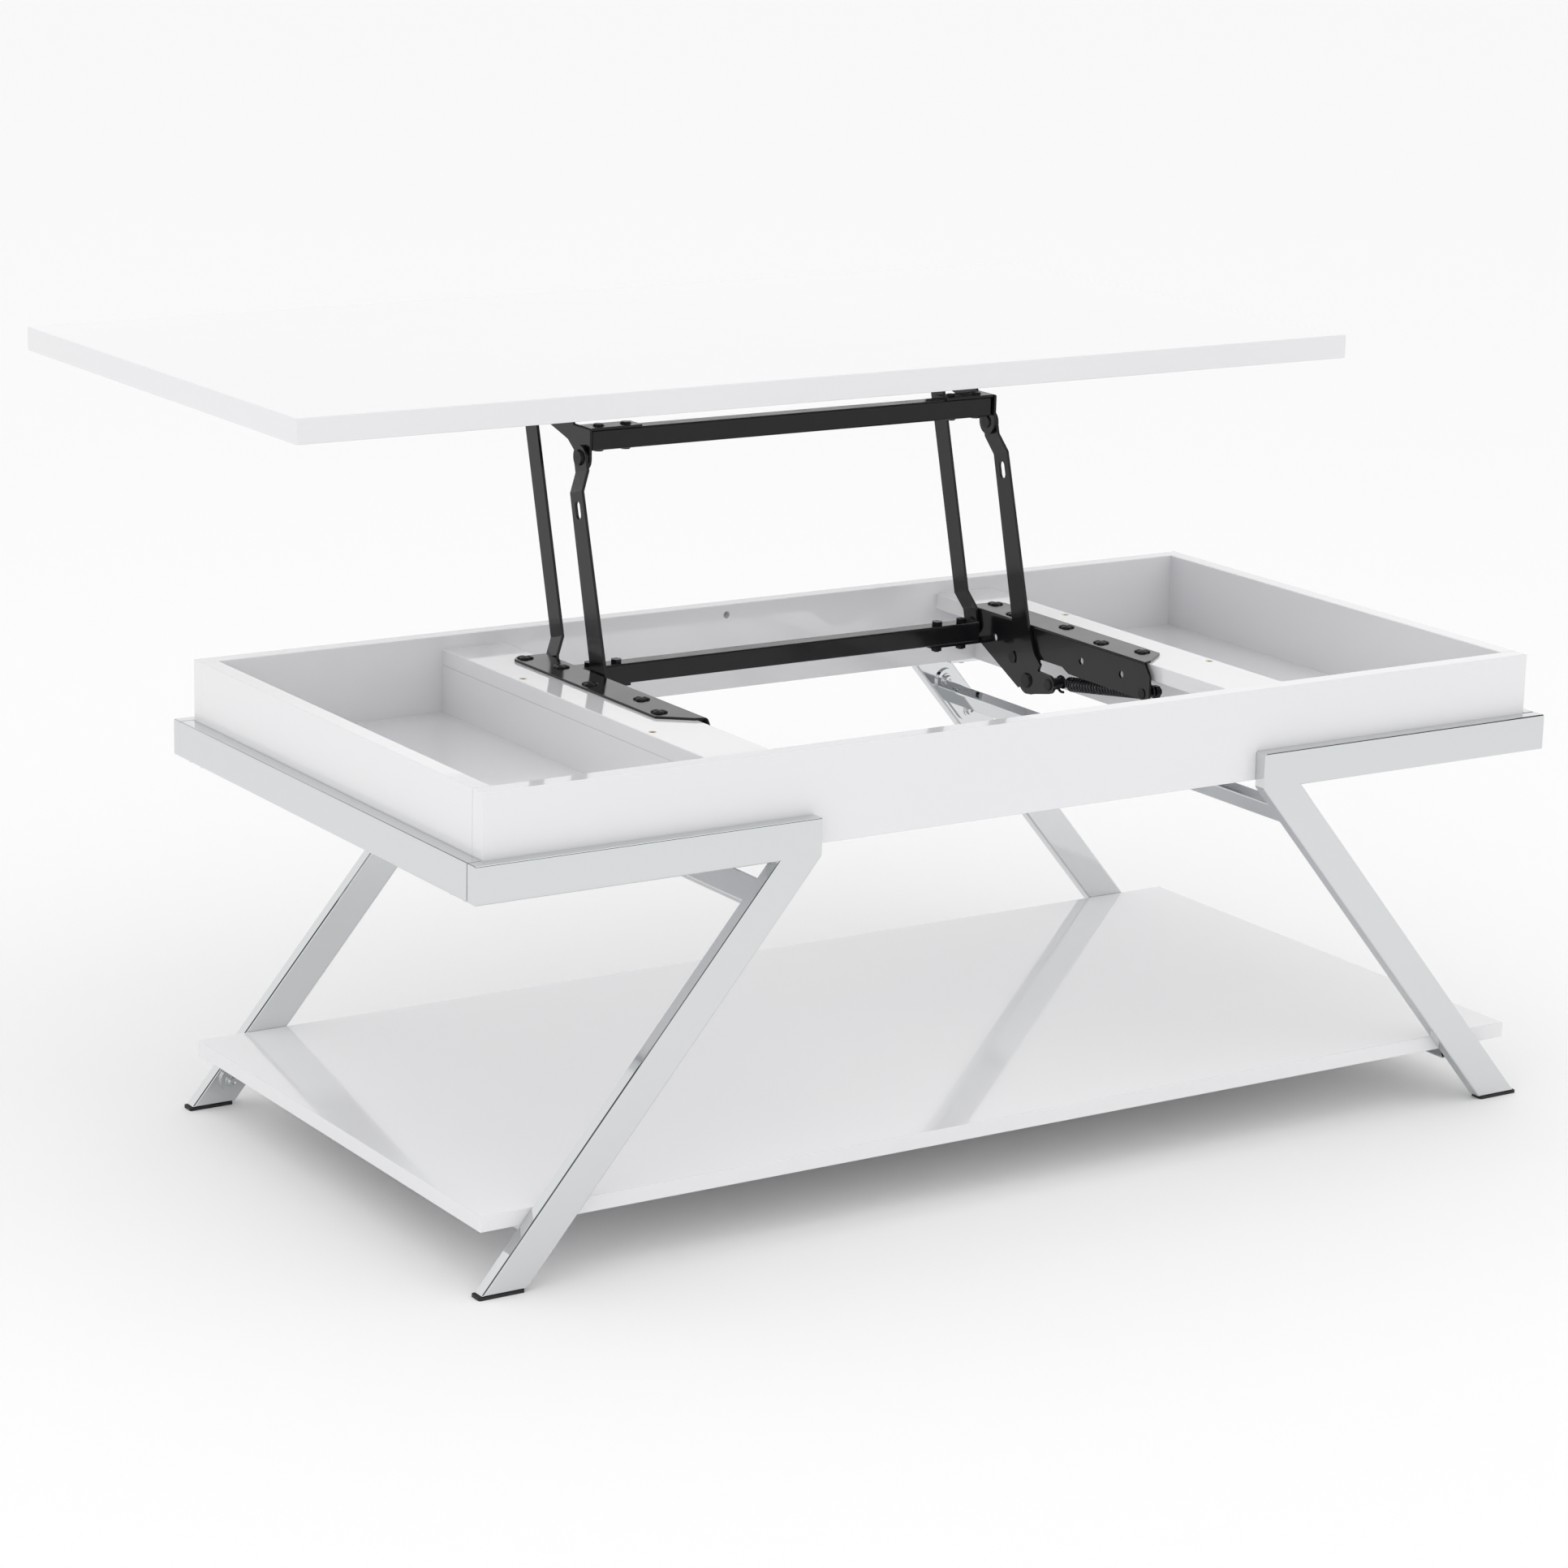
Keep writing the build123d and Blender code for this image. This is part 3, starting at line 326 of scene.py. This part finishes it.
for turn in (0, 90):
    cutter_form = bmesh.new()
    bmesh.ops.create_cube(cutter_form, size=1)
    bmesh.ops.scale(
        cutter_form, verts=cutter_form.verts, vec=(recess_length, recess_width, recess_depth * 2)
    )
    bmesh.ops.rotate(
        cutter_form, verts=cutter_form.verts, matrix=Matrix.Rotation(math.radians(turn), 3, "Z")
    )
    bmesh.ops.translate(cutter_form, verts=cutter_form.verts, vec=(0, 0, head_rise))
    cutter_mesh = bpy.data.meshes.new("recess")
    cutter_form.to_mesh(cutter_mesh)
    cutter_form.free()
    cutter = bpy.data.objects.new("recess", cutter_mesh)
    bpy.context.collection.objects.link(cutter)
    cut = head.modifiers.new("recess", "BOOLEAN")
    cut.object = cutter
    cut.solver = "EXACT"
    cutters.append(cutter)
bpy.context.view_layer.update()
cut_mesh = bpy.data.meshes.new_from_object(head.evaluated_get(bpy.context.evaluated_depsgraph_get()))
for helper in [head, *cutters]:
    bpy.data.objects.remove(helper)
flange_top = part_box("base_bracket_left")[1].z
screws_form = bmesh.new()
for count, place in enumerate(places("bracket_screws", 0.008)):
    before = set(screws_form.verts)
    screws_form.from_mesh(cut_mesh)
    added = [v for v in screws_form.verts if v not in before]
    bmesh.ops.rotate(screws_form, verts=added, matrix=Matrix.Rotation(0.5 + 1.1 * count, 3, "Z"))
    bmesh.ops.translate(screws_form, verts=added, vec=(place.x, place.y, flange_top))
screws = new_piece("bracket_screw_heads", screws_form, oxide, "base")
round_edges(screws, 0.00012, 2)
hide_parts("bracket_screws")

# ---------------------------------------------------------------------------------------------
# Lift springs: hard drawn wire wound with a small gap, blacked in oil, with a loop on the anchor
# pin and an open hook on the lever pin. Each is wound once along the line between its two pins.
spring_steel, spring_shader = new_material(
    "blacked_spring_wire", Base_Color=linear("#2a2a2d"), Metallic=0.6
)
vary(spring_steel, spring_shader, 0.002, 0.22, 0.36)
wire_radius = 0.00135
coil_radius = 0.00625
coil_turns = 26
points_per_turn = 18
coil_gap_anchor, coil_gap_lever = 0.013, 0.0145
loop_radius = 0.0072
loop_offset = 0.00175
loop_points, hook_points = 16, 22


def pin_centre(node, sign):
    """Middle of the pin on one side, in the plane across the table."""
    side_verts = [v.co for v in nodes[node].data.vertices if v.co.x * sign > 0]
    low = [min(co[i] for co in side_verts) for i in range(3)]
    high = [max(co[i] for co in side_verts) for i in range(3)]
    return (low[1] + high[1]) / 2, (low[2] + high[2]) / 2


for side, sign in (("left", -1), ("right", 1)):
    spring_x = sign * (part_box("lift_springs")[1].x - coil_radius - wire_radius)
    anchor = Vector((spring_x, *pin_centre("spring_anchor_pins", sign)))
    lever = Vector((spring_x, *pin_centre("spring_lever_pins", sign)))
    along = (lever - anchor).normalized()
    length = (lever - anchor).length
    up = Vector((1, 0, 0)).cross(along)
    out = Vector((1, 0, 0))
    coil_start, coil_end = coil_gap_anchor, length - coil_gap_lever
    path = []
    for i in range(loop_points + 1):
        angle = math.radians(200 - 200 * i / loop_points)
        around = math.cos(angle) * along + math.sin(angle) * up
        path.append(anchor + loop_offset * along + loop_radius * around)
    total = coil_turns * points_per_turn
    for i in range(total + 1):
        angle = 2 * math.pi * i / points_per_turn
        turns_to_end = min(i + 1, total + 1 - i) / points_per_turn
        reach = coil_radius * min(1, turns_to_end * 1.5)
        on_axis = anchor + along * (coil_start + (coil_end - coil_start) * i / total)
        path.append(on_axis + reach * (math.cos(angle) * out + math.sin(angle) * up))
    for i in range(hook_points + 1):
        angle = math.radians(180 - 290 * i / hook_points)
        flare = 1 + 1.2 * max(0, i / hook_points - 0.75)
        around = math.cos(angle) * along + math.sin(angle) * up
        path.append(lever - loop_offset * along + loop_radius * flare * around)
    wire = bpy.data.curves.new("wire", "CURVE")
    wire.dimensions = "3D"
    wire.bevel_depth = wire_radius
    wire.bevel_resolution = 2
    wire.use_fill_caps = True
    spline = wire.splines.new("POLY")
    spline.points.add(len(path) - 1)
    for point, co in zip(spline.points, path):
        point.co = (*co, 1)
    wire_object = bpy.data.objects.new("wire", wire)
    bpy.context.collection.objects.link(wire_object)
    bpy.context.view_layer.update()
    spring_mesh = bpy.data.meshes.new_from_object(
        wire_object.evaluated_get(bpy.context.evaluated_depsgraph_get())
    )
    bpy.data.objects.remove(wire_object)
    spring_mesh.shade_smooth()
    spring_mesh.materials.clear()
    spring_mesh.materials.append(spring_steel)
    spring = bpy.data.objects.new(f"spring_{side}", spring_mesh)
    bpy.context.collection.objects.link(spring)
    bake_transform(spring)
    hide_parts("lift_springs", "spring_hooks")

# ---------------------------------------------------------------------------------------------
# Studio: a pale floor, a broad soft light overhead and a softer one to the left.
floor_mesh = bpy.data.meshes.new("floor")
floor_form = bmesh.new()
bmesh.ops.create_grid(floor_form, x_segments=1, y_segments=1, size=40)
floor_form.to_mesh(floor_mesh)
floor_form.free()
floor = bpy.data.objects.new("floor", floor_mesh)
bpy.context.collection.objects.link(floor)
floor_paint, _ = new_material("studio_floor", Base_Color=linear("#fbfbfb"), Roughness=0.9)
floor_mesh.materials.append(floor_paint)


def area_light(name, place, target, size, power):
    """A square soft box at a place, facing a target."""
    data = bpy.data.lights.new(name, "AREA")
    data.shape = "SQUARE"
    data.size = size
    data.energy = power
    light = bpy.data.objects.new(name, data)
    light.location = place
    light.rotation_mode = "QUATERNION"
    light.rotation_quaternion = (Vector(target) - Vector(place)).to_track_quat("-Z", "Y")
    bpy.context.collection.objects.link(light)


middle = (0, 0, 0.35)
area_light("overhead", (0.2, -0.4, 3.2), middle, 3.0, 7)
area_light("left_box", (-3.2, -1.8, 1.6), middle, 2.4, 4)

# The room is a white cyclorama. Only what the plating and the gloss mirror sees its darker
# ceiling ring and the dark gap between two walls, which draw the fine dark lines on the edges.
world = bpy.data.worlds.new("studio")
world.use_nodes = True
room = world.node_tree
sky = room.nodes["Background"]
direction = room.nodes.new("ShaderNodeTexCoord")
axes = room.nodes.new("ShaderNodeSeparateXYZ")
room.links.new(direction.outputs["Generated"], axes.inputs[0])
ceiling = room.nodes.new("ShaderNodeValToRGB")
room.links.new(axes.outputs["Z"], ceiling.inputs["Fac"])
stops = ceiling.color_ramp.elements
stops[0].position, stops[0].color = 0.42, linear("#ffffff")
stops[1].position, stops[1].color = 0.52, linear("#26282b")
for place, tone_code in ((0.74, "#26282b"), (0.84, "#ffffff")):
    stops.new(place).color = linear(tone_code)
path_kind = room.nodes.new("ShaderNodeLightPath")
mirrored = room.nodes.new("ShaderNodeMix")
mirrored.data_type = "RGBA"
room.links.new(path_kind.outputs["Is Glossy Ray"], mirrored.inputs["Factor"])
mirrored.inputs[6].default_value = linear("#ffffff")
room.links.new(ceiling.outputs["Color"], mirrored.inputs[7])
room.links.new(mirrored.outputs[2], sky.inputs["Color"])
sky.inputs["Strength"].default_value = 1.0
bpy.context.scene.world = world
bpy.context.scene.view_settings.view_transform = "Standard"

# ---------------------------------------------------------------------------------------------
# Camera: a long lens above and to the left of the table.
lens, pitch, yaw, roll = 100.87, 0.25126, 0.57324, -0.02282
camera_data = bpy.data.cameras.new("camera")
camera_data.lens = lens
camera_data.sensor_width = 36
camera_data.clip_end = 100
camera = bpy.data.objects.new("camera", camera_data)
ahead = Vector((math.sin(yaw) * math.cos(pitch), math.cos(yaw) * math.cos(pitch), -math.sin(pitch)))
level = Vector((math.cos(yaw), -math.sin(yaw), 0))
down = ahead.cross(level)
across = math.cos(roll) * level + math.sin(roll) * down
under = -math.sin(roll) * level + math.cos(roll) * down
camera.matrix_world = Matrix.Translation((-2.3189, -3.4400, 1.3865)) @ (
    Matrix((across, -under, -ahead)).transposed().to_4x4()
)
bpy.context.collection.objects.link(camera)
bpy.context.scene.camera = camera
